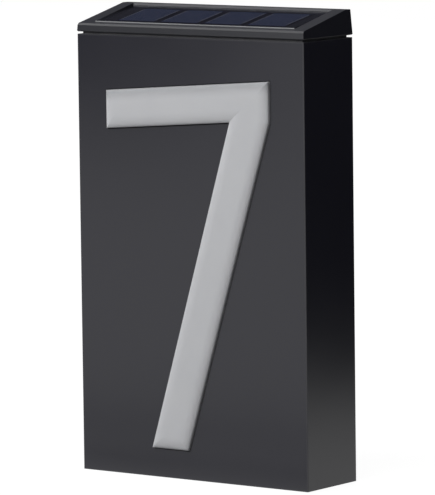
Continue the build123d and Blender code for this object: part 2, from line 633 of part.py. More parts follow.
with BuildPart() as module_base:
    with BuildSketch(Plane.XY.offset(PLUG_Z)):
        RectangleRounded(PLUG_W, PLUG_D, PLUG_R)
    extrude(amount=PLUG_H + FLANGE_T)
    with BuildSketch(Plane.XY.offset(CAP_Z)):
        Rectangle(2 * (inner_x - FLANGE_GAP), 2 * (inner_y - FLANGE_GAP))
    extrude(amount=FLANGE_T)
    with BuildSketch(Plane.XY.offset(FLOOR_Z)):
        RectangleRounded(BAY_W, BAY_D, PLUG_R - PLUG_WALL)
    extrude(amount=PLUG_H + FLANGE_T, mode=Mode.SUBTRACT)
    with BuildSketch(Plane.XY.offset(FLOOR_Z)):
        for side in SIDES:
            with Locations((side * (BAY_L + BAY_WALL) / 2, 0)):
                Rectangle(BAY_WALL, BAY_D)
    extrude(amount=BAY_H)
    for side in SIDES:
        with BuildSketch(Plane.YZ.offset(side * CRADLE_X)):
            with Locations((0, FLOOR_Z + CRADLE_H / 2)):
                Rectangle(BAY_D, CRADLE_H)
            with Locations((0, BATTERY_Z)):
                Circle(BATTERY_D / 2 + CRADLE_GAP, mode=Mode.SUBTRACT)
            with Locations((0, (FLOOR_Z + BATTERY_Z) / 2)):
                Rectangle(BATTERY_D + 2 * CRADLE_GAP, BATTERY_Z - FLOOR_Z, mode=Mode.SUBTRACT)
        extrude(amount=CRADLE_T / 2, both=True)
    with BuildSketch(Plane.XY.offset(PLUG_Z)):
        with Locations(*column_spots):
            Rectangle(COLUMN_W, COLUMN_W)
    extrude(amount=COLUMN_H)
    with BuildSketch(Plane.XY.offset(PLUG_Z)):
        add(door_outline.sketch)
    extrude(amount=DOOR_T, mode=Mode.SUBTRACT)
    with BuildSketch(Plane.XY.offset(PLUG_Z)):
        Rectangle(BAY_L, DOOR_W - 2 * DOOR_LEDGE)
    extrude(amount=FLOOR_T, mode=Mode.SUBTRACT)
    with BuildSketch(Plane.XY.offset(PLUG_Z + DOOR_T)):
        with Locations((DOOR_EAR_X, 0)):
            Circle(DOOR_BOSS_D / 2)
    extrude(amount=DOOR_BOSS_H)
    with Locations(facing_down(DOOR_EAR_X, 0, PLUG_Z + DOOR_T)):
        Hole((SHANK_D + PILOT_GAP) / 2, DOOR_SCREW_L)
    with BuildSketch(Plane.XY.offset(FLOOR_Z)):
        with Locations(*driver_posts, *led_posts):
            Rectangle(POST_W, POST_W)
    extrude(amount=PCB_LIFT)
    with BuildSketch(Plane.XY.offset(PCB_Z)):
        with Locations(*driver_posts, *led_posts):
            Circle(POST_PIN_D / 2)
    extrude(amount=POST_PIN_H)
    with BuildSketch(Plane.XY.offset(PLUG_Z)):
        with Locations(*window_spots):
            Rectangle(WINDOW_L, WINDOW_W)
        with Locations((DRIVER_X, SWITCH_Y)):
            SlotOverall(LEVER_L + SWITCH_TRAVEL + 2 * LEVER_GAP + LEVER_W, LEVER_W + 2 * LEVER_GAP)
    extrude(amount=FLOOR_T, mode=Mode.SUBTRACT)
    with Locations(*[facing_down(x, y, PLUG_Z) for x, y in column_spots]):
        CounterBoreHole((SHANK_D + SHANK_HOLE_GAP) / 2, (HEAD_D + HEAD_GAP) / 2, HEAD_H, COLUMN_H)
save(module_base, "module_base")

with BuildPart() as module_screws:
    add_screws([facing_down(x, y, PLUG_Z + HEAD_H) for x, y in column_spots], MODULE_SCREW_L)
save(module_screws, "module_screws")

with BuildPart() as led_windows:
    with BuildSketch(Plane.XY.offset(PLUG_Z)):
        with Locations(*window_spots):
            Rectangle(WINDOW_L - 2 * WINDOW_FIT, WINDOW_W - 2 * WINDOW_FIT)
    extrude(amount=FLOOR_T)
save(led_windows, "led_windows")

# ---- cell, contacts, spring and door ---------------------------------------------------
with BuildPart() as battery_cell:
    with BuildSketch(Plane.YZ.offset(BATTERY_X - BATTERY_L / 2)):
        with Locations((0, BATTERY_Z)):
            Circle(BATTERY_D / 2)
    extrude(amount=BATTERY_L)
    chamfer(battery_cell.edges().filter_by(GeomType.CIRCLE), SHOULDER_L)
    with BuildSketch(Plane.YZ.offset(BATTERY_X + BATTERY_L / 2)):
        with Locations((0, BATTERY_Z)):
            Circle(NUB_D / 2)
    extrude(amount=NUB_L)
save(battery_cell, "battery_cell")

with BuildPart() as battery_contacts:
    for side in SIDES:
        with BuildSketch(Plane.YZ.offset(side * (BAY_L - CONTACT_T) / 2)):
            with Locations((0, BATTERY_Z)):
                Rectangle(CONTACT_W, CONTACT_W)
        extrude(amount=CONTACT_T / 2, both=True)
save(battery_contacts, "battery_contacts")

spring_start = -BAY_L / 2 + CONTACT_T + SPRING_WIRE / 2
spring_l = BATTERY_X - BATTERY_L / 2 - SPRING_WIRE / 2 - spring_start
with BuildPart() as battery_spring:
    with BuildLine() as coil:
        Helix(
            spring_l / SPRING_TURNS,
            spring_l,
            SPRING_R,
            center=(spring_start, 0, BATTERY_Z),
            direction=(1, 0, 0),
            cone_angle=SPRING_CONE,
        )
    with BuildSketch(Plane(coil.line @ 0, z_dir=coil.line % 0)):
        RegularPolygon(SPRING_WIRE / 2, WIRE_SIDES)
    sweep(path=coil.line, is_frenet=True)
save(battery_spring, "battery_spring")

with BuildPart() as battery_door:
    with BuildSketch(Plane.XY.offset(PLUG_Z)):
        add(door_outline.sketch)
        offset(amount=-DOOR_GAP, kind=Kind.INTERSECTION, mode=Mode.REPLACE)
        with Locations((DOOR_EAR_X, 0)):
            Circle((SHANK_D + SHANK_HOLE_GAP) / 2, mode=Mode.SUBTRACT)
    extrude(amount=DOOR_T)
    with BuildSketch(Plane.XY.offset(PLUG_Z)):
        with Locations((DOOR_END - GRIP_COUNT * 2 * GRIP_W, 0)):
            with GridLocations(2 * GRIP_W, 0, GRIP_COUNT, 1):
                Rectangle(GRIP_W, DOOR_W / 2)
    extrude(amount=GRIP_DEPTH, mode=Mode.SUBTRACT)
save(battery_door, "battery_door")

with BuildPart() as door_screw:
    add_screws([facing_down(DOOR_EAR_X, 0, PLUG_Z)], DOOR_SCREW_L)
save(door_screw, "door_screw")

# ---- boards and what they carry ---------------------------------------------------------
with BuildPart() as driver_board:
    with BuildSketch(Plane.XY.offset(PCB_Z)):
        with Locations((DRIVER_X, 0)):
            Rectangle(DRIVER_W, PCB_D)
        with Locations(*driver_posts):
            Circle(POST_PIN_D / 2 + POST_FIT, mode=Mode.SUBTRACT)
    extrude(amount=PCB_T)
save(driver_board, "driver_board")

with BuildPart() as led_board:
    with BuildSketch(Plane.XY.offset(PCB_Z)):
        with Locations((LED_BOARD_X, 0)):
            Rectangle(LED_BOARD_L, LED_BOARD_W)
        with Locations(*led_posts):
            Circle(POST_PIN_D / 2 + POST_FIT, mode=Mode.SUBTRACT)
    extrude(amount=PCB_T)
save(led_board, "led_board")

with BuildPart() as leds:
    with Locations(*[(x, y, PCB_Z) for x, y in led_spots]):
        Box(LED_D, LED_W, LED_T, align=DOWN)
save(leds, "leds")

with BuildPart() as boost_coil:
    with Locations((DRIVER_X - PART_X, -PART_Y, PCB_TOP)):
        Cylinder(COIL_NECK_D / 2, COIL_H, align=UP)
        Box(COIL_W, COIL_W, COIL_FLANGE_T, align=UP)
    with Locations((DRIVER_X - PART_X, -PART_Y, PCB_TOP + COIL_H)):
        Box(COIL_W, COIL_W, COIL_FLANGE_T, align=DOWN)
save(boost_coil, "boost_coil")

with BuildPart() as storage_capacitor:
    with Locations((DRIVER_X + PART_X, PART_Y, PCB_TOP)):
        Cylinder(CAPACITOR_R, CAPACITOR_H, align=UP)
    chamfer(storage_capacitor.edges().group_by(Axis.Z)[-1], CAPACITOR_BEVEL)
save(storage_capacitor, "storage_capacitor")

chip_x = DRIVER_X + PART_X
with BuildPart() as driver_chip:
    with Locations((chip_x, -PART_Y, PCB_TOP)):
        Box(CHIP_W, CHIP_L, CHIP_H, align=UP)
        with GridLocations(0, LEG_PITCH, 1, 4):
            Box(CHIP_W + 2 * LEG_L, LEG_W, LEG_W / 2, align=UP)
save(driver_chip, "driver_chip")

# ---- slide switch: fixed body, lever that reaches through the floor ----------------------
switch_low = FLOOR_Z + SWITCH_GAP
slot_l = LEVER_L + SWITCH_TRAVEL + 2 * SWITCH_SLOT_GAP
slot_w = LEVER_W + 2 * SWITCH_SLOT_GAP
with BuildPart() as switch_body:
    with Locations((DRIVER_X, SWITCH_Y, PCB_Z)):
        Box(SWITCH_L, SWITCH_W, PCB_Z - switch_low, align=DOWN)
    with Locations((DRIVER_X, SWITCH_Y, switch_low)):
        Box(slot_l, slot_w, SWITCH_SLOT_DEPTH, align=UP, mode=Mode.SUBTRACT)
save(switch_body, "switch_body")

lever_x = DRIVER_X - SWITCH_TRAVEL / 2
lever_top = switch_low + SWITCH_SLOT_DEPTH - SWITCH_SLOT_GAP
with BuildPart() as switch_lever:
    with Locations((lever_x, SWITCH_Y, lever_top)):
        Box(LEVER_L, LEVER_W, lever_top - PLUG_Z + LEVER_PROUD, align=DOWN)
    tip = switch_lever.faces().sort_by(Axis.Z)[0]
    chamfer(tip.edges(), LEVER_GAP)
save(switch_lever, "switch_lever")

# ---- flat leads between the panel, the boards and the cell contacts -----------------------
lead_z = FLOOR_Z + CRADLE_H + LEAD_T / 2
lead_end_x = DRIVER_LEFT + LEAD_EDGE_X
cell_lead_x = BAY_L / 2 - LEAD_T / 2
contact_top = BATTERY_Z + CONTACT_W / 2
led_lead_x = LED_BOARD_X + LED_BOARD_L / 2 - POST_EDGE_X
lead_down = [(lead_end_x, lead_z), (lead_end_x, PCB_TOP)]
led_lead_y = LED_BOARD_W / 2 - POST_EDGE_Y
with BuildPart() as board_leads:
    add_flat_lead([(led_lead_x, PCB_TOP), (led_lead_x, lead_z), *lead_down], led_lead_y)
save(board_leads, "board_leads")

with BuildPart() as battery_leads:
    minus_start = [(-cell_lead_x, contact_top), (-cell_lead_x, lead_z)]
    add_flat_lead([*minus_start, *lead_down], led_lead_y - LEAD_PITCH)
    plus_start = [(cell_lead_x, contact_top), (cell_lead_x, lead_z)]
    add_flat_lead([*plus_start, *lead_down], led_lead_y - 2 * LEAD_PITCH)
save(battery_leads, "battery_leads")

step_z = PCB_TOP + PANEL_LEAD_LOW_H
lead_foot = [(PANEL_LEAD_FOOT_X, PCB_TOP), (PANEL_LEAD_FOOT_X, step_z)]
lead_head = [(PANEL_LEAD_TOP_X, step_z + PANEL_LEAD_STEP_H), (PANEL_LEAD_TOP_X, ROOF_TOP)]
with BuildPart() as panel_leads:
    add_flat_lead([*lead_foot, *lead_head], PANEL_LEAD_Y)
    split(bisect_by=panel_plane(PANEL_STACK - TAPE_T), keep=Keep.BOTTOM)
save(panel_leads, "panel_leads")
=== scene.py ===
"""Looks of the solar house number light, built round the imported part.

Metres, in the part's own frame: X runs right along the front, Y into the wall and Z up."""

import math

import bpy
from mathutils import Euler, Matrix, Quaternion, Vector


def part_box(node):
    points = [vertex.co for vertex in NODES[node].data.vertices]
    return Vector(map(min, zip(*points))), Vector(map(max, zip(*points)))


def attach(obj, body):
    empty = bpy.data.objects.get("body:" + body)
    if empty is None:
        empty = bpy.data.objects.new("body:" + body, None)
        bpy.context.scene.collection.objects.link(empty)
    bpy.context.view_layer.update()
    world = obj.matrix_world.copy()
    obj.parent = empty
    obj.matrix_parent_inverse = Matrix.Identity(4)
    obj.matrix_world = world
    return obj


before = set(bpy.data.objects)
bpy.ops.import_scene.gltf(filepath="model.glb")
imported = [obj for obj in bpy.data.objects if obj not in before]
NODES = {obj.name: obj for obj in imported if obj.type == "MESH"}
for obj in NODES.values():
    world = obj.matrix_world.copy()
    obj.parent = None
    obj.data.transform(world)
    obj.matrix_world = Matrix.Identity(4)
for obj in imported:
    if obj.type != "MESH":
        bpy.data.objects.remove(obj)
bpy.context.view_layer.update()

MM = 0.001

# ---- sizes that the frame's boxes don't give -------------------------------------------
PANEL_TILT = math.radians(10.9)
CELL_COUNT = 4
CELL_W = 21.0 * MM
CELL_L = 19.5 * MM
CELL_PITCH = 23.0 * MM
CELL_T = 0.2 * MM
CELL_RIM_W = 1.0 * MM  # bare edge of each cell beside its coated face
CRYSTALS_PER_METRE = 420.0
FIELD_MARGIN = 0.4 * MM  # blacker field of the panel's board, beyond the cells
BOARD_WEAVE = 0.6 * MM
FINGER_COUNT = 13
FINGER_W = 0.07 * MM
FINGER_T = 0.03 * MM
BUSBAR_W = 0.45 * MM
BUSBAR_INSET = 1.3 * MM
RECESS_GAP = 0.3 * MM  # round the panel in the cap's roof
RECESS_BEVEL = 0.7 * MM  # behind the panel
FROST_DEPTH = 0.25 * MM  # frosted part of the cover, behind its sawn front edge
PLATE_EDGE = 4.5 * MM  # opal plate beyond the figure
BAR_RISE = math.radians(4.4)  # slope of the figure's bar
BAR_RIGHT = 42.3 * MM  # right end of its upper edge
BAR_SHADE_H = 6 * MM  # painted shade strip along that edge
CROWN_H = 1.5 * MM  # rounded rim of the figure, from front to back, over which its painted rim shade grows
BOARD_TOP = 178.3 * MM  # upper face of the two circuit boards
BOARD_EDGE = (0.44 * MM, 0.49 * MM)  # from a board's middle to where its mask begins
TRACK_PITCH = (2.1 * MM, 3.3 * MM)
COIL_FLANGE = 0.8 * MM
COIL_TURN = 0.28 * MM
CHIP_LEG = 1.0 * MM
CAN_RIM = (0.55 * MM, 0.45 * MM)  # below the capacitor's top, where its sleeve ends
CELL_NUB = 1.0 * MM  # the battery's positive end
CELL_END = 0.7 * MM  # bare steel at both ends of the battery
LEAD_W = 1.6 * MM
LEAD_T = 0.6 * MM
LED_W = 2.8 * MM
LED_L = 3.5 * MM
LED_PITCH = 4.8 * MM

# ---- tones of the black mouldings and the clear sheets --------------------------------------
HOUSING_BLACK = (0.0100, 0.0100, 0.0160)
CAP_BLACK = (0.013, 0.0135, 0.018)
BACK_BLACK = (0.026, 0.026, 0.028)
TONE_SPREAD = 0.08  # share by which a moulding's black varies
# lighter black of the edges: wear and a painted highlight
EDGE_WEAR_AND_HIGHLIGHT_BLACK = (0.12, 0.12, 0.125)
WEAR_AND_HIGHLIGHT_FADE = (0.2 * MM, 1.0 * MM)  # distances from an edge between which its wear and painted highlight are lost
CLEAR_TINT = (0.96, 0.97, 1.0)

# ---- shine -------------------------------------------------------------------------------
# The panel's shine comes from its cells where it is seen steeply and from its cover at a glance;
# both pass into each other between these two values of Layer Weight's Facing.
STEEP_VIEW = 0.3
GLANCING_VIEW = 0.6
# Schlick's formula for what clear sheet mirrors: the share seen square on, and the power.
SQUARE_ON_SHARE = 0.04
GLANCE_POWER = 5.0

# ---- the photograph's camera -------------------------------------------------------------
VIEW_AZIMUTH = math.radians(36.55)
VIEW_ELEVATION = math.radians(6.43)
VIEW_ROLL = math.radians(-0.70)
VIEW_DISTANCE = 2.069
VIEW_TARGET = Vector((0.0141, -0.018, 0.1013))
LENS_MM = 354.1
SENSOR_MM = 36.0


def direction(azimuth, elevation):
    """Unit vector from the light towards a viewer at these angles."""
    level = math.cos(elevation)
    return Vector((math.sin(azimuth) * level, -math.cos(azimuth) * level, math.sin(elevation)))


def add_camera():
    """Camera at the photograph's place."""
    camera = bpy.data.objects.new("camera", bpy.data.cameras.new("camera"))
    bpy.context.scene.collection.objects.link(camera)
    camera.data.lens = LENS_MM
    camera.data.sensor_width = SENSOR_MM
    back = direction(VIEW_AZIMUTH, VIEW_ELEVATION)
    camera.location = VIEW_TARGET + back * VIEW_DISTANCE
    camera.rotation_mode = "QUATERNION"
    upright = (-back).to_track_quat("-Z", "Y")
    camera.rotation_quaternion = upright @ Quaternion((0, 0, 1), VIEW_ROLL)
    bpy.context.scene.camera = camera


# ---- shader maths --------------------------------------------------------------------------
class Signal:
    """One output of a finish's nodes, so that shader maths reads as plain sums."""

    def __init__(self, finish, socket):
        self.finish = finish
        self.socket = socket

    def maths(self, operation, *values):
        return self.finish.add("ShaderNodeMath", {"operation": operation}, *values)

    def __add__(self, other):
        return self.maths("ADD", self, other)

    __radd__ = __add__

    def __sub__(self, other):
        return self.maths("SUBTRACT", self, other)

    def __rsub__(self, other):
        return self.maths("SUBTRACT", other, self)

    def __mul__(self, other):
        return self.maths("MULTIPLY", self, other)

    def __abs__(self):
        return self.maths("ABSOLUTE", self)

    def least(self, other):
        return self.maths("MINIMUM", self, other)

    def most(self, other):
        return self.maths("MAXIMUM", self, other)

    def wave(self, pitch):
        """Sine from -1 to 1 that repeats at this pitch."""
        return self.maths("SINE", self * (2 * math.pi / pitch))

    def fade(self, start, end):
        """0 before start, 1 after end, smooth between them."""
        settings = {"interpolation_type": "SMOOTHSTEP"}
        return self.finish.add("ShaderNodeMapRange", settings, self, start, end)

    def inside(self, middle, half, soft=0.02 * MM):
        """1 within this half width of the middle, else 0."""
        return 1 - abs(self - middle).fade(half - soft, half + soft)


class Finish:
    """A procedural material on one Principled shader."""

    def __init__(self, name):
        self.material = bpy.data.materials.new(name)
        self.material.use_nodes = True
        self.tree = self.material.node_tree
        self.tree.nodes.clear()
        self.output = self.tree.nodes.new("ShaderNodeOutputMaterial")
        self.shader = self.tree.nodes.new("ShaderNodeBsdfPrincipled")
        self.link(self.shader.outputs[0], self.output.inputs["Surface"])
        self.place = self.add("ShaderNodeTexCoord", out="Object")
        split = self.tree.nodes.new("ShaderNodeSeparateXYZ")
        self.link(self.place.socket, split.inputs[0])
        self.x, self.y, self.z = [Signal(self, socket) for socket in split.outputs]

    def link(self, source, target):
        self.tree.links.new(source, target)

    def fill(self, target, value):
        """Put a number, a colour or another signal into a socket."""
        if isinstance(value, Signal):
            self.link(value.socket, target)
        elif isinstance(value, tuple) and len(value) == 3 and target.type == "RGBA":
            target.default_value = (*value, 1.0)
        else:
            target.default_value = value

    def add(self, kind, settings=None, *values, out=0, **named):
        """Add a node, set it up, fill its sockets and return one output."""
        node = self.tree.nodes.new(kind)
        for key, value in (settings or {}).items():
            setattr(node, key, value)
        for socket, value in zip(node.inputs, values):
            self.fill(socket, value)
        for key, value in named.items():
            self.fill(node.inputs[key.replace("_", " ")], value)
        return Signal(self, node.outputs[out])

    def set(self, **named):
        """Fill sockets of the Principled shader."""
        for key, value in named.items():
            self.fill(self.shader.inputs[key.replace("_", " ")], value)

    def blend(self, share, first, second):
        """Mix two colours."""
        node = self.tree.nodes.new("ShaderNodeMix")
        node.data_type = "RGBA"
        self.fill(node.inputs["Factor"], share)
        # a Mix node keeps its colour sockets at these places
        self.fill(node.inputs[6], first)
        self.fill(node.inputs[7], second)
        return Signal(self, node.outputs[2])

    def noise(self, size, detail=2.0, stretch=None):
        """Noise about 0.5 whose spots have this size in metres."""
        place = self.place
        if stretch:
            place = self.add("ShaderNodeMapping", None, self.place, Scale=stretch)
        settings = {"noise_dimensions": "3D"}
        return self.add("ShaderNodeTexNoise", settings, Vector=place, Scale=1 / size, Detail=detail)

    def show(self, surface):
        """Give this shader to the output."""
        self.link(surface.socket, self.output.inputs["Surface"])

    def bump(self, height, strength, depth):
        """Raise the surface by this height signal."""
        normal = self.add("ShaderNodeBump", None, Strength=strength, Distance=depth, Height=height)
        self.set(Normal=normal)

    def facing(self):
        """0 seen square on, 1 seen edge on."""
        return self.add("ShaderNodeLayerWeight", out="Facing", Blend=0.5)

    def steep_shine(self):
        """Clear gloss over the panel's inner faces, gone where they are seen at a glance."""
        steep = 1 - self.facing().fade(STEEP_VIEW, GLANCING_VIEW)
        self.set(Coat_Weight=steep, Coat_Roughness=0.05, Coat_IOR=1.5)

    def to_edge(self, low, high):
        """Distance along the surface of a box to its nearest edge: the middle one of three gaps,
        since the gap to the box's own face is 0."""
        gaps = []
        for value, start, end in zip((self.x, self.y, self.z), low, high):
            gaps.append((end - start) / 2 - abs(value - (start + end) / 2))
        first, second, third = gaps
        return first.least(second).most(first.most(second).least(third))


# ---- finishes ----------------------------------------------------------------------------------
def recess_bevel(finish):
    """1 on the narrow bevel behind the solar panel and right beside it, else 0."""
    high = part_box("panel_cover")[1]
    behind = high.y + RECESS_GAP + RECESS_BEVEL / 2
    across = finish.x.inside(0, high.x + RECESS_GAP)
    return finish.y.inside(behind, RECESS_BEVEL, soft=0.2 * MM) * across


def moulded_black(name, node, tone, rough, wear_and_highlight, dull_bevel=0.0):
    """Black ABS with a fine spark texture, a little lighter along its edges, partly from wear and
    partly as a painted highlight.
    """
    finish = Finish(name)
    cloud = finish.noise(30 * MM)
    grain = finish.noise(0.35 * MM, detail=3.0)
    # edges made lighter: partly wear, partly a painted highlight
    edge = 1 - (finish.to_edge(*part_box(node)) + cloud * 0.5 * MM).fade(*WEAR_AND_HIGHLIGHT_FADE)
    darker = tuple(value * (1 - TONE_SPREAD) for value in tone)
    lighter = tuple(value * (1 + TONE_SPREAD) for value in tone)
    plain = finish.blend(cloud, darker, lighter)
    finish.set(Base_Color=finish.blend(edge * wear_and_highlight, plain, EDGE_WEAR_AND_HIGHLIGHT_BLACK))
    dull = rough - 0.04 + cloud * 0.04 + grain * 0.04
    if dull_bevel:
        dull = dull + recess_bevel(finish) * dull_bevel
    finish.set(Roughness=dull, IOR=1.50)
    finish.bump(grain, strength=0.25, depth=0.02 * MM)
    return finish.material


def opal_acrylic():
    """Milky acrylic, with painted shade down its crowned rim and in a strip along the upper edge of
    its bar.
    """
    finish = Finish("opal_acrylic")
    cloud = finish.noise(18 * MM)
    low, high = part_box("numeral_diffuser")
    # painted shade: the crowned rim turns greyer towards its foot
    rim = finish.y.fade(low.y, low.y + CROWN_H)
    bar_top = high.z - PLATE_EDGE - (BAR_RIGHT - finish.x) * math.tan(BAR_RISE)
    # painted shade: greyer within BAR_SHADE_H below the bar's upper edge
    painted_top_shade = 1 - (bar_top - finish.z).fade(0.0, BAR_SHADE_H)
    milk = finish.blend(cloud, (0.55, 0.555, 0.575), (0.58, 0.585, 0.60))
    shaded = finish.blend(painted_top_shade, milk, (0.34, 0.345, 0.36))
    # mixes the painted top shade and the painted rim shade into the milk tone
    finish.set(Base_Color=finish.blend(rim * 0.2, shaded, (0.36, 0.365, 0.38)))
    finish.set(Roughness=0.50 + finish.noise(4 * MM) * 0.06, IOR=1.49, Specular_IOR_Level=0.2)
    finish.set(Subsurface_Weight=0.6, Subsurface_Scale=2.5 * MM)
    finish.set(Subsurface_Radius=(1.0, 0.97, 0.94))
    finish.bump(finish.noise(6 * MM), strength=0.05, depth=0.05 * MM)
    return finish.material


def white_reflector():
    """Glossy white styrene with the slight flow marks of a thin moulding."""
    finish = Finish("white_reflector")
    flow = finish.noise(12 * MM, detail=3.0, stretch=(1.0, 1.0, 0.3))
    finish.set(Base_Color=finish.blend(flow, (0.78, 0.78, 0.77), (0.84, 0.84, 0.83)))
    finish.set(Roughness=0.28 + flow * 0.08)
    finish.bump(flow, strength=0.08, depth=0.1 * MM)
    return finish.material


def seal_rubber():
    """Matt black EPDM with a fine grain and a dusty bloom."""
    finish = Finish("seal_rubber")
    grain = finish.noise(0.25 * MM, detail=4.0)
    bloom = finish.noise(5 * MM, detail=3.0).fade(0.4, 0.7)
    finish.set(Base_Color=finish.blend(bloom, (0.105, 0.105, 0.112), (0.125, 0.125, 0.132)))
    finish.set(Roughness=0.72 + grain * 0.14, Specular_IOR_Level=0.2)
    finish.bump(grain, strength=0.4, depth=0.04 * MM)
    return finish.material


def lead_covering(name, dark, light):
    """Soft PVC round the flat leads."""
    finish = Finish(name)
    grain = finish.noise(0.4 * MM)
    finish.set(Base_Color=finish.blend(grain, dark, light))
    finish.set(Roughness=0.42 + grain * 0.1)
    finish.bump(grain, strength=0.15, depth=0.02 * MM)
    return finish.material


def zinc_plate():
    """Bright zinc on steel with fine turning marks and a little dulling."""
    finish = Finish("zinc_plate")
    dull = finish.noise(1.2 * MM, detail=3.0)
    marks = finish.noise(0.08 * MM)
    finish.set(Base_Color=finish.blend(dull, (0.50, 0.51, 0.52), (0.62, 0.62, 0.61)), Metallic=1.0)
    finish.set(Roughness=0.26 + dull * 0.16)
    finish.bump(marks, strength=0.12, depth=0.01 * MM)
    return finish.material


def nickel_plate():
    """Nickel on spring steel."""
    finish = Finish("nickel_plate")
    drawn = finish.noise(0.3 * MM, detail=3.0)
    finish.set(Base_Color=finish.blend(drawn, (0.56, 0.53, 0.47), (0.66, 0.63, 0.57)), Metallic=1.0)
    finish.set(Roughness=0.22 + drawn * 0.14)
    finish.bump(drawn, strength=0.08, depth=0.01 * MM)
    return finish.material


def silicon_cell():
    """Dark blue coated silicon with faint crystal grains."""
    finish = Finish("silicon_cell")
    crystal = finish.add(
        "ShaderNodeTexVoronoi", out="Color", Vector=finish.place, Scale=CRYSTALS_PER_METRE
    )
    grey = finish.add("ShaderNodeSeparateColor", None, crystal)
    cloud = finish.noise(9 * MM)
    base = finish.blend(cloud, (0.015, 0.021, 0.046), (0.020, 0.027, 0.058))
    coated = finish.blend(grey * 0.35, base, (0.026, 0.034, 0.072))
    # distance across from the middle of the nearest cell
    off_middle = abs(abs(abs(finish.x) - CELL_PITCH) - CELL_PITCH / 2)
    coated_half = CELL_W / 2 - CELL_RIM_W
    rim = off_middle.fade(coated_half, coated_half + 0.1 * MM)
    finish.set(Base_Color=finish.blend(rim, coated, (0.004, 0.004, 0.008)))
    finish.set(Roughness=0.34 + grey * 0.08, Specular_IOR_Level=0.0)
    finish.steep_shine()
    return finish.material


def silver_print():
    """Screen-printed silver paste of the cells' contact lines."""
    finish = Finish("silver_print")
    grain = finish.noise(0.15 * MM)
    finish.set(Base_Color=finish.blend(grain, (0.085, 0.09, 0.110), (0.115, 0.12, 0.14)))
    finish.set(Roughness=0.42 + grain * 0.1, Specular_IOR_Level=0.0)
    finish.steep_shine()
    return finish.material


def panel_backing():
    """Black laminate, blackest below the cells and with a faint woven tone beside them."""
    finish = Finish("panel_backing")
    weave = finish.x.wave(BOARD_WEAVE) * finish.y.wave(BOARD_WEAVE)
    field = finish.x.inside(0, (CELL_PITCH * (CELL_COUNT - 1) + CELL_W) / 2 + FIELD_MARGIN)
    border = finish.blend(weave * 0.5 + 0.5, (0.009, 0.009, 0.012), (0.013, 0.013, 0.016))
    finish.set(Base_Color=finish.blend(field, border, (0.004, 0.004, 0.007)))
    finish.set(Roughness=0.5, Specular_IOR_Level=0.0)
    finish.steep_shine()
    return finish.material


def foam_tape():
    """Grey closed-cell mounting tape."""
    finish = Finish("foam_tape")
    pores = finish.noise(0.3 * MM, detail=4.0)
    finish.set(Base_Color=finish.blend(pores, (0.20, 0.20, 0.21), (0.29, 0.29, 0.30)))
    finish.set(Roughness=0.8)
    finish.bump(pores, strength=0.4, depth=0.05 * MM)
    return finish.material


def clear_sheet(name, frost_below=None):
    """Clear acrylic with see-through faces. Where frost_below gives the Y of its sawn front edge,
    that edge is frosted, and the sheet leaves the shine of steep views to the cells below it."""
    finish = Finish(name)
    ripple = finish.noise(14 * MM)
    turned = finish.facing()
    outside = 1 - finish.add("ShaderNodeNewGeometry", out="Backfacing")
    tint = CLEAR_TINT
    metal = 1.0
    rough = 0.04 + ripple * 0.02
    square_on = SQUARE_ON_SHARE
    if frost_below is not None:
        square_on = turned.fade(STEEP_VIEW, GLANCING_VIEW) * SQUARE_ON_SHARE
    at_a_glance = turned.maths("POWER", turned, GLANCE_POWER) * (1 - SQUARE_ON_SHARE)
    share = (at_a_glance + square_on) * outside
    if frost_below is not None:
        frosted = 1 - finish.y.fade(frost_below, frost_below + FROST_DEPTH)
        share = share.most(frosted * (0.55 + finish.noise(0.5 * MM) * 0.3))
        tint = finish.blend(frosted, CLEAR_TINT, (0.50, 0.51, 0.52))
        metal = 1 - frosted
        rough = rough + frosted * 0.4
    finish.set(Base_Color=tint, Metallic=metal, Roughness=rough)
    clear = finish.add("ShaderNodeBsdfTransparent", None, (0.98, 0.985, 0.99))
    mirror = Signal(finish, finish.shader.outputs[0])
    finish.show(finish.add("ShaderNodeMixShader", None, share, clear, mirror))
    return finish.material


def solder_mask():
    """Green board with copper tracks under its mask and a bare glass-fibre edge."""
    finish = Finish("solder_mask")
    low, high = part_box("driver_board")
    track_x = finish.x.wave(TRACK_PITCH[0]).fade(0.55, 0.7)
    track_y = (finish.y + finish.x * 0.4).wave(TRACK_PITCH[1]).fade(0.7, 0.85)
    tracks = track_x.most(track_y)
    face = abs(finish.z - (low.z + high.z) / 2).fade(*BOARD_EDGE)
    mask = finish.blend(tracks, (0.012, 0.090, 0.032), (0.030, 0.150, 0.055))
    finish.set(Base_Color=finish.blend(face, (0.33, 0.31, 0.17), mask))
    finish.set(Roughness=0.32 + finish.noise(1.5 * MM) * 0.1)
    finish.bump(tracks * face, strength=0.3, depth=0.03 * MM)
    return finish.material


def solder():
    """Bright tin solder."""
    finish = Finish("solder")
    frost = finish.noise(0.3 * MM, detail=3.0)
    finish.set(Base_Color=finish.blend(frost, (0.58, 0.58, 0.58), (0.70, 0.70, 0.69)), Metallic=1.0)
    finish.set(Roughness=0.22 + frost * 0.2)
    return finish.material


def led_body():
    """White LED housings."""
    finish = Finish("led_body")
    grain = finish.noise(0.4 * MM)
    finish.set(Base_Color=finish.blend(grain, (0.76, 0.76, 0.74), (0.83, 0.83, 0.81)))
    finish.set(Roughness=0.4 + grain * 0.1)
    return finish.material


def led_phosphor():
    """Yellow phosphor in clear resin."""
    finish = Finish("led_phosphor")
    cloud = finish.noise(0.6 * MM)
    finish.set(Base_Color=finish.blend(cloud, (0.72, 0.50, 0.06), (0.80, 0.60, 0.10)))
    finish.set(Roughness=0.2, Coat_Weight=0.6)
    return finish.material


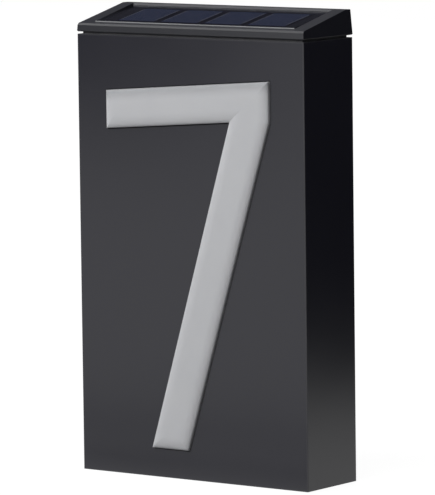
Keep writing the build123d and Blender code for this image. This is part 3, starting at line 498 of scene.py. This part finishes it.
def ferrite_coil():
    """Dark ferrite flanges with enamelled copper wound between them."""
    finish = Finish("ferrite_coil")
    low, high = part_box("boost_coil")
    middle = (low.z + high.z) / 2
    neck = finish.z.inside(middle, (high.z - low.z) / 2 - COIL_FLANGE)
    turns = finish.z.wave(COIL_TURN)
    ferrite = finish.noise(0.3 * MM, detail=3.0)
    core = finish.blend(ferrite, (0.030, 0.030, 0.033), (0.055, 0.055, 0.058))
    finish.set(Base_Color=finish.blend(neck, core, (0.45, 0.16, 0.06)), Metallic=neck * 0.9)
    finish.set(Roughness=0.55 - neck * 0.25)
    finish.bump(turns * neck + ferrite * 0.3, strength=0.5, depth=0.06 * MM)
    return finish.material


def chip_package():
    """Matt black epoxy package with tinned legs."""
    finish = Finish("chip_package")
    low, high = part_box("driver_chip")
    legs = 1 - finish.x.inside((low.x + high.x) / 2, (high.x - low.x) / 2 - CHIP_LEG)
    grain = finish.noise(0.2 * MM, detail=3.0)
    epoxy = finish.blend(grain, (0.018, 0.018, 0.019), (0.030, 0.030, 0.031))
    finish.set(Base_Color=finish.blend(legs, epoxy, (0.60, 0.60, 0.59)), Metallic=legs)
    finish.set(Roughness=0.62 - legs * 0.34)
    finish.bump(grain, strength=0.25, depth=0.02 * MM)
    return finish.material


def capacitor_can():
    """Drawn aluminium can with a dark sleeve up to the rim of its top."""
    finish = Finish("capacitor_can")
    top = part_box("storage_capacitor")[1].z
    sleeve = 1 - finish.z.fade(top - CAN_RIM[0], top - CAN_RIM[1])
    drawn = finish.noise(0.5 * MM, detail=2.0, stretch=(1.0, 1.0, 8.0))
    can = finish.blend(drawn, (0.66, 0.67, 0.68), (0.76, 0.77, 0.78))
    finish.set(Base_Color=finish.blend(sleeve, can, (0.02, 0.024, 0.05)), Metallic=1 - sleeve)
    finish.set(Roughness=0.28 + sleeve * 0.12 + drawn * 0.05)
    return finish.material


def cell_sleeve():
    """Shrunk green sleeve with a pale band on the rechargeable cell, steel at both ends."""
    finish = Finish("cell_sleeve")
    low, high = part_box("battery_cell")
    middle = (low.x + high.x - CELL_NUB) / 2
    sleeve = finish.x.inside(middle, (high.x - low.x - CELL_NUB) / 2 - CELL_END)
    band = finish.x.inside(high.x - 9 * MM, 2 * MM) * sleeve
    cloud = finish.noise(6 * MM)
    green = finish.blend(cloud, (0.020, 0.135, 0.060), (0.026, 0.165, 0.075))
    film = finish.blend(band, green, (0.62, 0.63, 0.62))
    steel = finish.blend(cloud, (0.52, 0.51, 0.49), (0.62, 0.61, 0.59))
    finish.set(Base_Color=finish.blend(sleeve, steel, film), Metallic=1 - sleeve)
    finish.set(Roughness=0.30 + cloud * 0.08)
    finish.bump(finish.noise(2.5 * MM), strength=0.08, depth=0.05 * MM)
    return finish.material


def switch_shell():
    """Folded tin-plated shell of the slide switch."""
    finish = Finish("switch_shell")
    rolled = finish.noise(0.6 * MM, detail=3.0, stretch=(0.2, 1.0, 1.0))
    finish.set(Base_Color=finish.blend(rolled, (0.48, 0.48, 0.47), (0.60, 0.60, 0.59)), Metallic=1.0)
    finish.set(Roughness=0.30 + rolled * 0.12)
    return finish.material


def switch_nylon():
    """White nylon of the switch's lever."""
    finish = Finish("switch_nylon")
    grain = finish.noise(0.3 * MM)
    finish.set(Base_Color=finish.blend(grain, (0.70, 0.70, 0.68), (0.78, 0.78, 0.76)))
    finish.set(Roughness=0.42 + grain * 0.1, Subsurface_Weight=0.1, Subsurface_Scale=0.5 * MM)
    return finish.material


def dress(material, *names):
    """Give CAD nodes this finish."""
    for name in names:
        for slot in NODES[name].material_slots:
            slot.material = material


def dress_mouldings():
    """Put the black finishes on. Each takes the place of its worn edges with their painted highlight
    from one node's box.
    """
    housing = moulded_black("housing_black", "housing_shell", HOUSING_BLACK, rough=0.30, wear_and_highlight=0.25)
    dress(housing, "housing_shell")
    cap = moulded_black("cap_black", "cap_shell", CAP_BLACK, rough=0.32, wear_and_highlight=0.18, dull_bevel=0.25)
    dress(cap, "cap_shell")
    back = moulded_black("cover_black", "back_plate", BACK_BLACK, rough=0.45, wear_and_highlight=0.2)
    dress(back, "back_plate")
    module = moulded_black("module_black", "module_base", HOUSING_BLACK, rough=0.40, wear_and_highlight=0.2)
    dress(module, "module_base", "battery_door")


def dress_part():
    """Put a finish on every CAD node."""
    dress_mouldings()
    dress(opal_acrylic(), "numeral_diffuser")
    dress(white_reflector(), "reflector_tray")
    dress(seal_rubber(), "rim_gasket", "back_seal")
    dress(lead_covering("lead_red", (0.30, 0.028, 0.022), (0.35, 0.034, 0.028)), "battery_leads")
    dress(lead_covering("lead_black", (0.020, 0.020, 0.022), (0.028, 0.028, 0.030)), "panel_leads")
    dress(lead_covering("lead_white", (0.60, 0.60, 0.57), (0.68, 0.68, 0.65)), "board_leads")
    dress(zinc_plate(), "tray_screws", "back_screws", "module_screws", "door_screw")
    dress(nickel_plate(), "battery_spring", "battery_contacts")
    dress(silicon_cell(), "solar_cells")
    dress(panel_backing(), "panel_board")
    dress(foam_tape(), "panel_tape")
    cover_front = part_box("panel_cover")[0].y
    dress(clear_sheet("clear_panel_cover", frost_below=cover_front), "panel_cover")
    dress(clear_sheet("clear_window"), "led_windows")
    dress(solder_mask(), "driver_board", "led_board")
    dress(led_body(), "leds")
    dress(ferrite_coil(), "boost_coil")
    dress(chip_package(), "driver_chip")
    dress(capacitor_can(), "storage_capacitor")
    dress(cell_sleeve(), "battery_cell")
    dress(switch_shell(), "switch_body")
    dress(switch_nylon(), "switch_lever")


# ---- repeated small pieces, grown by Geometry Nodes ---------------------------------------------
class Pattern:
    """A Geometry Nodes tree with named sizes that ends in real faces with a material."""

    def __init__(self, name, takes_points=False, **sizes):
        self.tree = bpy.data.node_groups.new(name, "GeometryNodeTree")
        self.keys = {}
        face = self.tree.interface
        if takes_points:
            face.new_socket("Places", in_out="INPUT", socket_type="NodeSocketGeometry")
        for label, value in sizes.items():
            kind = "NodeSocketInt" if isinstance(value, int) else "NodeSocketFloat"
            socket = face.new_socket(label, in_out="INPUT", socket_type=kind)
            self.keys[socket.identifier] = value
        face.new_socket("Geometry", in_out="OUTPUT", socket_type="NodeSocketGeometry")
        self.sizes = self.tree.nodes.new("NodeGroupInput").outputs

    def add(self, kind, settings=None, out=0, **named):
        """Add a node, set it up, fill its sockets and return one output."""
        node = self.tree.nodes.new(kind)
        for key, value in (settings or {}).items():
            setattr(node, key, value)
        for key, value in named.items():
            socket = node.inputs[key.replace("_", " ")]
            if isinstance(value, bpy.types.NodeSocket):
                self.tree.links.new(value, socket)
            else:
                socket.default_value = value
        return node.outputs[out]

    def vector(self, x=0.0, y=0.0, z=0.0):
        return self.add("ShaderNodeCombineXYZ", X=x, Y=y, Z=z)

    def repeat(self, shape, points):
        return self.add("GeometryNodeInstanceOnPoints", Points=points, Instance=shape)

    def grow(self, name, shape, material, body, base=None):
        """Turn the tree into one plain mesh that rides on a body."""
        real = self.add("GeometryNodeRealizeInstances", Geometry=shape)
        painted = self.add("GeometryNodeSetMaterial", Geometry=real, Material=material)
        out = self.tree.nodes.new("NodeGroupOutput")
        self.tree.links.new(painted, out.inputs[0])
        holder = bpy.data.objects.new(name, base or bpy.data.meshes.new(name))
        bpy.context.scene.collection.objects.link(holder)
        modifier = holder.modifiers.new("pattern", "NODES")
        modifier.node_group = self.tree
        for key, value in self.keys.items():
            modifier[key] = value
        grown = holder.evaluated_get(bpy.context.evaluated_depsgraph_get())
        mesh = bpy.data.meshes.new_from_object(grown)
        holder.modifiers.clear()
        holder.data = mesh
        mesh.name = name
        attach(holder, body)


def print_cells():
    """Silver contact lines of the four cells: fingers across and a busbar at both sides."""
    finger_pitch = CELL_L / FINGER_COUNT
    sizes = {"Finger pitch": finger_pitch, "Fingers": FINGER_COUNT, "Finger width": FINGER_W}
    sizes.update({"Busbar width": BUSBAR_W, "Cells": CELL_COUNT, "Cell pitch": CELL_PITCH})
    pattern = Pattern("cell_print", **sizes)
    width = CELL_W - 2 * BUSBAR_INSET
    finger_size = pattern.vector(width, pattern.sizes["Finger width"], FINGER_T)
    finger = pattern.add("GeometryNodeMeshCube", Size=finger_size)
    first = Vector((0, -CELL_L / 2 + finger_pitch / 2, 0))
    step = pattern.vector(y=pattern.sizes["Finger pitch"])
    rows = pattern.add(
        "GeometryNodeMeshLine", Count=pattern.sizes["Fingers"], Start_Location=first, Offset=step
    )
    fingers = pattern.repeat(finger, rows)
    bar_size = pattern.vector(pattern.sizes["Busbar width"], CELL_L - 2 * BUSBAR_INSET, FINGER_T)
    bar = pattern.add("GeometryNodeMeshCube", Size=bar_size)
    bar_rows = pattern.add(
        "GeometryNodeMeshLine", Count=2, Start_Location=(-width / 2, 0, 0), Offset=(width, 0, 0)
    )
    bars = pattern.repeat(bar, bar_rows)
    both = pattern.tree.nodes.new("GeometryNodeJoinGeometry")
    for part in (fingers, bars):
        pattern.tree.links.new(part, both.inputs[0])
    start = Vector((-(CELL_COUNT - 1) / 2 * CELL_PITCH, 0, 0))
    pitch = pattern.vector(x=pattern.sizes["Cell pitch"])
    cells = pattern.add(
        "GeometryNodeMeshLine", Count=pattern.sizes["Cells"], Start_Location=start, Offset=pitch
    )
    low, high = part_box("solar_cells")
    normal = Vector((0, -math.sin(PANEL_TILT), math.cos(PANEL_TILT)))
    # a quarter of the lines' thickness is sunk in the cells
    middle = (low + high) / 2 + normal * (CELL_T / 2 + FINGER_T / 4)
    laid = pattern.add(
        "GeometryNodeTransform",
        Geometry=pattern.repeat(both.outputs[0], cells),
        Translation=middle,
        Rotation=Euler((PANEL_TILT, 0, 0)),
    )
    pattern.grow("cell_contact_lines", laid, silver_print(), "solar_module")


def plain_mesh(name, points, faces=()):
    """Mesh of these points and faces."""
    mesh = bpy.data.meshes.new(name)
    mesh.from_pydata(points, [], faces)
    return mesh


def add_led_lenses():
    """Round phosphor lenses in the underside of the LEDs."""
    low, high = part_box("leds")
    places = []
    for x in (low.x + LED_W / 2, high.x - LED_W / 2 - LED_PITCH):
        y = high.y - LED_L / 2 if x < 0 else low.y + LED_L / 2
        places += [(x, y, low.z), (x + LED_PITCH, y, low.z)]
    pattern = Pattern("led_lens", takes_points=True, Radius=1.1 * MM, Height=0.12 * MM)
    lens = pattern.add(
        "GeometryNodeMeshCylinder",
        Vertices=32,
        Radius=pattern.sizes["Radius"],
        Depth=pattern.sizes["Height"],
    )
    shape = pattern.repeat(lens, pattern.sizes["Places"])
    mesh = plain_mesh("led_places", places)
    pattern.grow("led_lenses", shape, led_phosphor(), "solar_module", mesh)


def add_solder_joints():
    """Solder domes where the flat leads meet the boards."""
    places = []
    for name, both_ends in (("board_leads", True), ("battery_leads", False)):
        low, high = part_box(name)
        rows = (low.y + LEAD_W / 2, high.y - LEAD_W / 2)
        # where the leads lie in a single row, both sums give it
        for y in sorted(set(round(row, 6) for row in rows)):
            places.append((high.x - LEAD_W / 2, y, BOARD_TOP))
            if both_ends:
                places.append((low.x + LEAD_W / 2, y, BOARD_TOP))
    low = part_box("panel_leads")[0]
    places.append((low.x + LEAD_T / 2, low.y + LEAD_W / 2, BOARD_TOP))
    pattern = Pattern("solder_joint", takes_points=True, Radius=0.95 * MM, Flatness=0.75)
    dome = pattern.add(
        "GeometryNodeMeshUVSphere", Segments=16, Rings=8, Radius=pattern.sizes["Radius"]
    )
    squeeze = pattern.vector(1.0, 1.0, pattern.sizes["Flatness"])
    flat = pattern.add("GeometryNodeTransform", Geometry=dome, Scale=squeeze)
    shape = pattern.repeat(flat, pattern.sizes["Places"])
    mesh = plain_mesh("solder_places", places)
    pattern.grow("solder_joints", shape, solder(), "solar_module", mesh)


# ---- studio ------------------------------------------------------------------------------------
FLOOR_R = 2.5
FLOOR_Z = -0.2 * MM  # just clear of the underside
FLOOR_GLOW = (0.95, 0.95, 0.95)  # the floor as it is seen, near the object
FLOOR_FADE = (0.4, 1.6)  # distances between which that passes into plain white
SHADOW_GREY = (0.12, 0.12, 0.12)  # tone that shows the object's shadow
BOUNCE_GREY = (0.10, 0.10, 0.10)  # tone of the floor to the light that it throws back
CARD_CLOTH = ((0.021, 0.021, 0.034), (0.029, 0.029, 0.045))
WHITE = (1, 1, 1)
ROOM_TINT = (0.97, 0.98, 1.0)
ROOM_LEVEL = 0.05
LIGHT_AIM = Vector((0, 0, 0.1))
SQUARE = ((-1, -1), (1, -1), (1, 1), (-1, 1))

# Name, place, width, height and radiance of each soft light.
SOFTBOXES = (
    ("key_light", (-1.10, -1.05, 1.15), 0.9, 0.9, 8.3),
    ("fill_light", (0.27, -1.38, 0.98), 1.0, 0.8, 5.3),
    ("left_light", (-1.10, 0.20, 1.45), 0.8, 0.8, 1.2),
    ("back_light", (-0.30, 0.95, 1.35), 1.0, 0.8, 2.6),
)

# Name, place, width, height and aim of each dark card. The last three darken the housing's front
# as it is seen from the photograph's side: its top left, and two strips along its foot.
DARK_CARDS = (
    ("side_card", (0.216, 0.208, 0.42), 0.7, 0.84, (0.06, 0.0, 0.42)),
    ("panel_card", (-0.38, 0.50, 0.46), 0.90, 0.90, (0.0, 0.0, 0.46)),
    ("front_card", (-0.311, -0.22, 0.180), 0.33, 0.10, (-0.133, 0.019, 0.180)),
    ("low_card", (-0.0715, -0.114, 0.0035), 0.26, 0.007, (-0.0715, 0.0, 0.0035)),
    ("near_card", (-0.024, -0.050, 0.001), 0.16, 0.002, (-0.024, 0.0, 0.001)),
)


def ray_switch(tree, seen, unseen):
    """Shader that is one thing to camera, mirrored and see-through rays, another to the rest."""
    path = tree.nodes.new("ShaderNodeLightPath")
    share = path.outputs["Is Camera Ray"]
    for name in ("Is Glossy Ray", "Is Transmission Ray"):
        either = tree.nodes.new("ShaderNodeMath")
        either.operation = "MAXIMUM"
        tree.links.new(share, either.inputs[0])
        tree.links.new(path.outputs[name], either.inputs[1])
        share = either.outputs[0]
    mixed = tree.nodes.new("ShaderNodeMixShader")
    tree.links.new(share, mixed.inputs[0])
    tree.links.new(unseen, mixed.inputs[1])
    tree.links.new(seen, mixed.inputs[2])
    return mixed.outputs[0]


def even_light(tree, colour, strength=1.0):
    """Light of this colour from all round."""
    node = tree.nodes.new("ShaderNodeBackground")
    node.inputs["Color"].default_value = (*colour, 1.0)
    node.inputs["Strength"].default_value = strength
    return node.outputs[0]


def add_world():
    """White to the camera and in mirrored images, dim room light to everything else."""
    world = bpy.data.worlds.new("studio")
    bpy.context.scene.world = world
    world.use_nodes = True
    tree = world.node_tree
    tree.nodes.clear()
    white = even_light(tree, WHITE)
    room = even_light(tree, ROOM_TINT, ROOM_LEVEL)
    out = tree.nodes.new("ShaderNodeOutputWorld")
    tree.links.new(ray_switch(tree, white, room), out.inputs["Surface"])


def stand(name, corners, material):
    """Put a one-faced piece of the studio in place."""
    mesh = plain_mesh(name, corners, [(0, 1, 2, 3)])
    mesh.materials.append(material)
    piece = bpy.data.objects.new(name, mesh)
    bpy.context.scene.collection.objects.link(piece)
    return piece


def add_floor():
    """Pale floor that keeps a trace of the object's shadow and isn't there from below."""
    finish = Finish("pale_floor")
    finish.set(Base_Color=BOUNCE_GREY, Roughness=0.9)
    reach = finish.add("ShaderNodeVectorMath", {"operation": "LENGTH"}, finish.place, out="Value")
    tone = finish.blend(reach.fade(*FLOOR_FADE), FLOOR_GLOW, WHITE)
    glow = finish.add("ShaderNodeEmission", Color=tone, Strength=1.0)
    shadowed = finish.add("ShaderNodeBsdfDiffuse", Color=SHADOW_GREY)
    seen = finish.add("ShaderNodeAddShader", None, glow, shadowed)
    shown = ray_switch(finish.tree, seen.socket, finish.shader.outputs[0])
    below = finish.add("ShaderNodeNewGeometry", out="Backfacing")
    nothing = finish.add("ShaderNodeBsdfTransparent", Color=WHITE)
    finish.show(finish.add("ShaderNodeMixShader", None, below, Signal(finish, shown), nothing))
    corners = [(x * FLOOR_R, y * FLOOR_R, FLOOR_Z) for x, y in SQUARE]
    stand("floor", corners, finish.material)


def add_dark_card(name, place, width, height, aim):
    """Dark card for mirrored images alone, as a photographer stands beside black gloss."""
    turn = (Vector(aim) - Vector(place)).to_track_quat("-Z", "Y")
    corners = []
    for x, y in SQUARE:
        corners.append(Vector(place) + turn @ Vector((x * width / 2, y * height / 2, 0)))
    finish = Finish(name)
    cloth = finish.noise(60 * MM)
    finish.set(Base_Color=finish.blend(cloth, *CARD_CLOTH), Roughness=0.9)
    card = stand(name, corners, finish.material)
    card.visible_camera = False
    card.visible_diffuse = False
    card.visible_shadow = False


def add_softbox(name, place, width, height, radiance):
    """Soft rectangular light of this brightness, turned towards the object."""
    lamp = bpy.data.lights.new(name, "AREA")
    lamp.shape = "RECTANGLE"
    lamp.size = width
    lamp.size_y = height
    lamp.energy = radiance * math.pi * width * height
    light = bpy.data.objects.new(name, lamp)
    bpy.context.scene.collection.objects.link(light)
    light.location = place
    light.rotation_mode = "QUATERNION"
    light.rotation_quaternion = (LIGHT_AIM - Vector(place)).to_track_quat("-Z", "Y")
    light.visible_camera = False


def light_studio():
    """Soft lights, the key light from the upper left, and dark cards in white surroundings."""
    add_world()
    add_floor()
    for softbox in SOFTBOXES:
        add_softbox(*softbox)
    for card in DARK_CARDS:
        add_dark_card(*card)


def main():
    add_camera()
    light_studio()
    dress_part()
    print_cells()
    add_led_lenses()
    add_solder_joints()
    bpy.context.scene.view_settings.view_transform = "Standard"


main()
